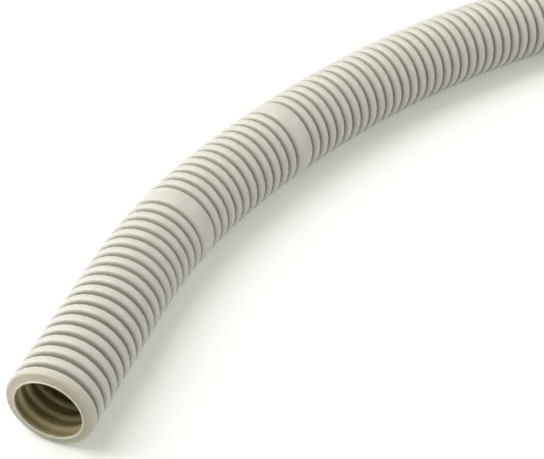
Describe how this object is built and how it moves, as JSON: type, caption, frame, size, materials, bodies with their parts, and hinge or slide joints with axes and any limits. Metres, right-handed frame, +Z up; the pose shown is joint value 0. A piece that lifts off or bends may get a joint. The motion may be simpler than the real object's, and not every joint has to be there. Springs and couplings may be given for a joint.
{
  "type": "flexible conduit",
  "caption": "Cut length of round corrugated plastic conduit with evenly spaced rings and plain bands, lying on the floor in a wide bend; open and cut square at both ends.",
  "frame": {"origin": "on the floor, in the middle of the footprint of the bent tube", "axes": "+Z up; -Y is the way that both ends open; the bend goes from the mouth towards +X"},
  "size_m": [0.6166, 0.3636, 0.02],
  "materials": {
    "plastic": "satin, light warm grey"
  },
  "bodies": {
    "root": {"conduit": "plastic"}
  },
  "joints": []
}
